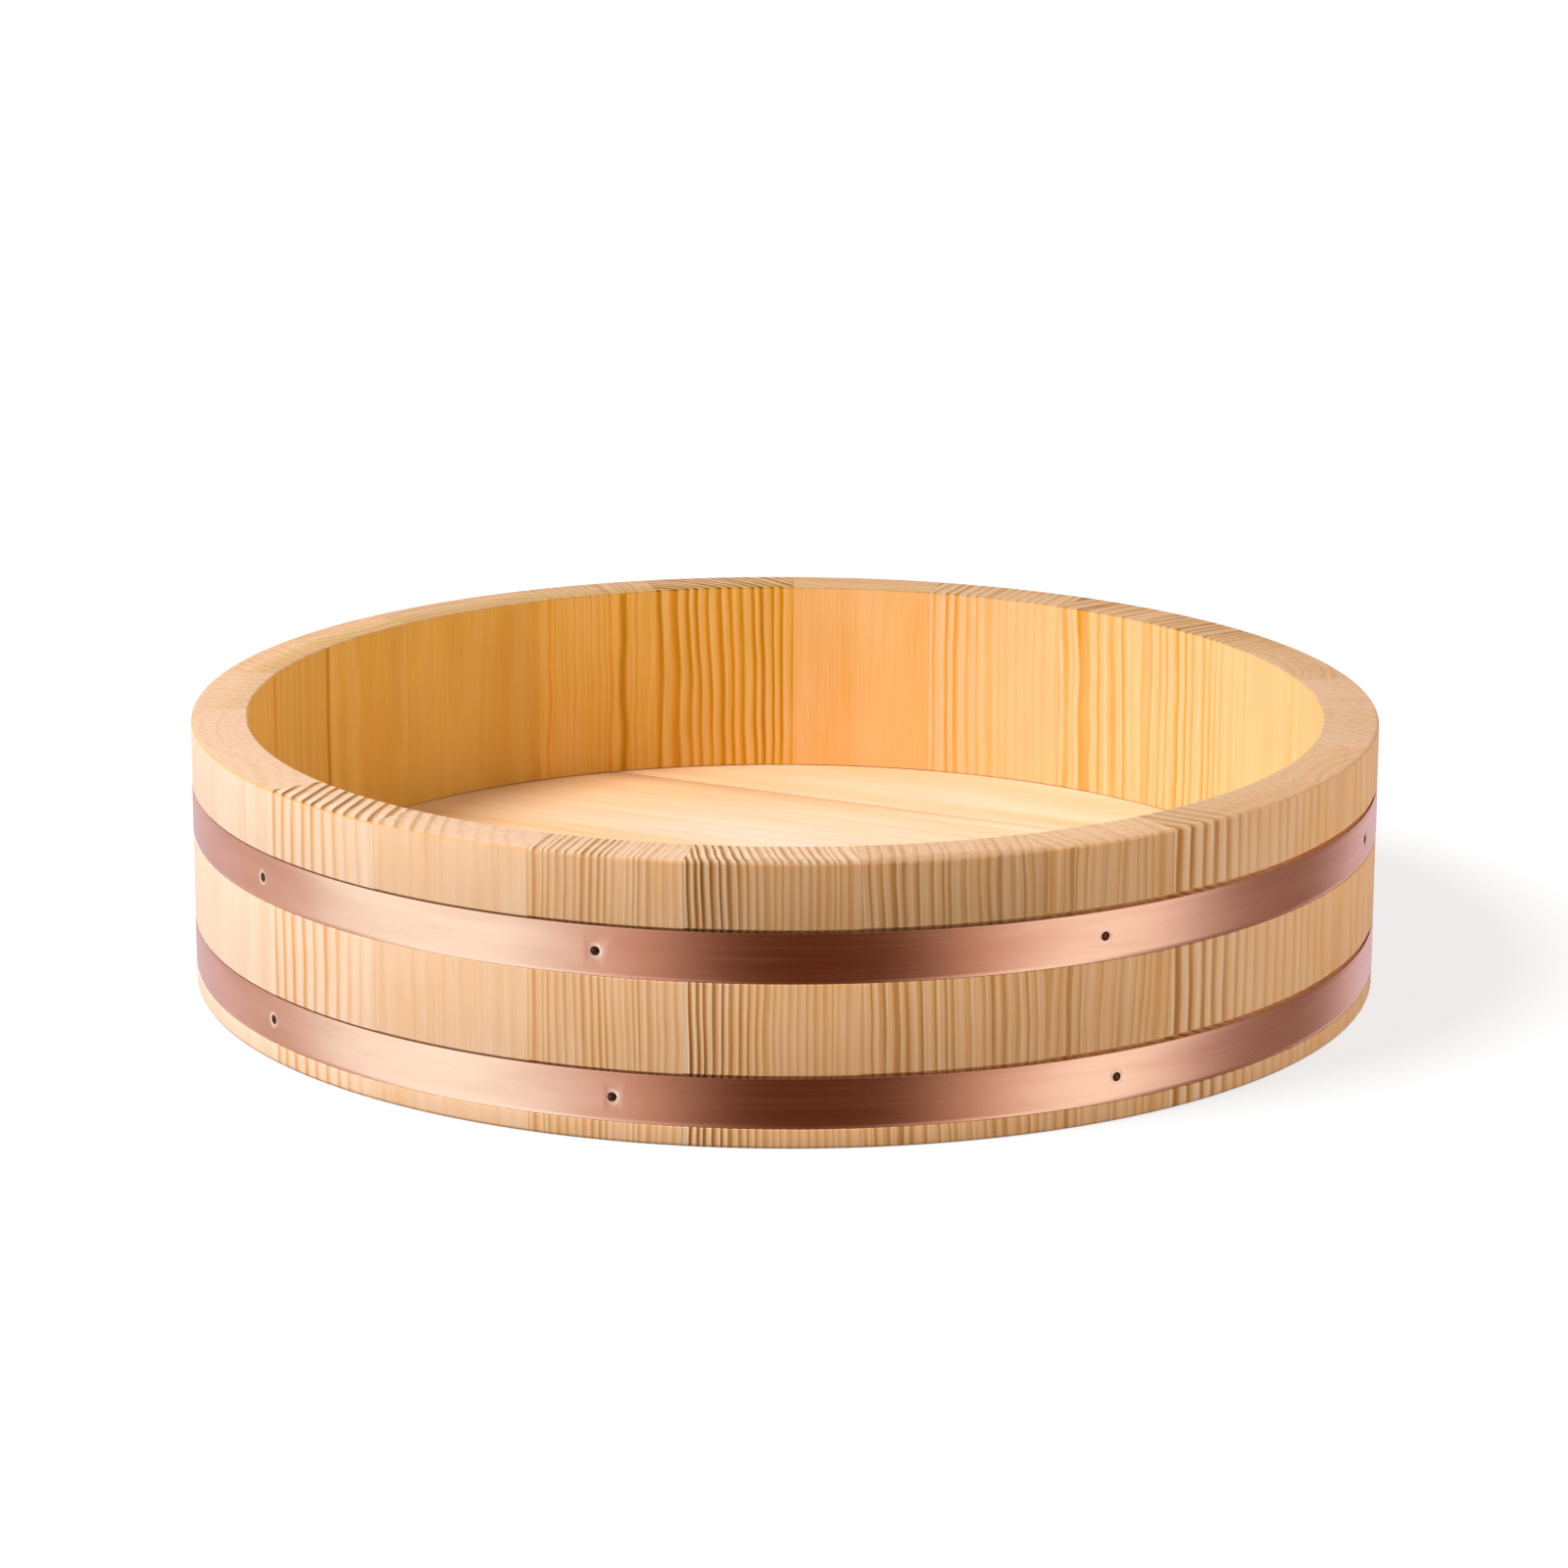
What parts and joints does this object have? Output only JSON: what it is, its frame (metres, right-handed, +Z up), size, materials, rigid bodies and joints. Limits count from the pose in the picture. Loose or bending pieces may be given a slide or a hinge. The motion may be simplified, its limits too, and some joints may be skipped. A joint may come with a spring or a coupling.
{
  "type": "sushi rice tub",
  "caption": "Round coopered wooden tub, open at the top, for seasoning sushi rice: upright staves glued edge to edge, a pinned board floor set in a groove, and nailed flush copper hoops.",
  "frame": {"origin": "centre of the foot ring, on the surface that the tub stands on", "axes": "+Z up along the tub's axis, -Y towards the front of the picture, +X to its right"},
  "size_m": [0.3602, 0.3602, 0.082],
  "materials": {
    "stave_wood": "planed bare softwood, straight grain, satin",
    "floor_wood": "planed bare softwood, faint grain, satin",
    "bamboo": "split and rounded bamboo, matt",
    "copper_hoop": "copper strip, brushed along its length",
    "copper_nail": "copper wire nail, dulled"
  },
  "bodies": {
    "root": {"floor_board_1": "floor_wood", "floor_board_2": "floor_wood", "floor_board_3": "floor_wood", "floor_board_4": "floor_wood", "floor_board_5": "floor_wood", "floor_pin_1": "bamboo", "floor_pin_2": "bamboo", "floor_pin_3": "bamboo", "floor_pin_4": "bamboo", "floor_pin_5": "bamboo", "floor_pin_6": "bamboo", "floor_pin_7": "bamboo", "floor_pin_8": "bamboo", "lower_hoop": "copper_hoop", "lower_hoop_nail_1": "copper_nail", "lower_hoop_nail_2": "copper_nail", "lower_hoop_nail_3": "copper_nail", "lower_hoop_nail_4": "copper_nail", "lower_hoop_nail_5": "copper_nail", "lower_hoop_nail_6": "copper_nail", "lower_hoop_nail_7": "copper_nail", "lower_hoop_nail_8": "copper_nail", "lower_hoop_nail_9": "copper_nail", "stave_01": "stave_wood", "stave_02": "stave_wood", "stave_03": "stave_wood", "stave_04": "stave_wood", "stave_05": "stave_wood", "stave_06": "stave_wood", "stave_07": "stave_wood", "stave_08": "stave_wood", "stave_09": "stave_wood", "stave_10": "stave_wood", "stave_11": "stave_wood", "stave_12": "stave_wood", "stave_13": "stave_wood", "stave_14": "stave_wood", "stave_15": "stave_wood", "stave_16": "stave_wood", "stave_17": "stave_wood", "stave_18": "stave_wood", "stave_19": "stave_wood", "stave_20": "stave_wood", "stave_21": "stave_wood", "stave_22": "stave_wood", "stave_23": "stave_wood", "upper_hoop": "copper_hoop", "upper_hoop_nail_1": "copper_nail", "upper_hoop_nail_2": "copper_nail", "upper_hoop_nail_3": "copper_nail", "upper_hoop_nail_4": "copper_nail", "upper_hoop_nail_5": "copper_nail", "upper_hoop_nail_6": "copper_nail", "upper_hoop_nail_7": "copper_nail", "upper_hoop_nail_8": "copper_nail", "upper_hoop_nail_9": "copper_nail"}
  },
  "joints": []
}
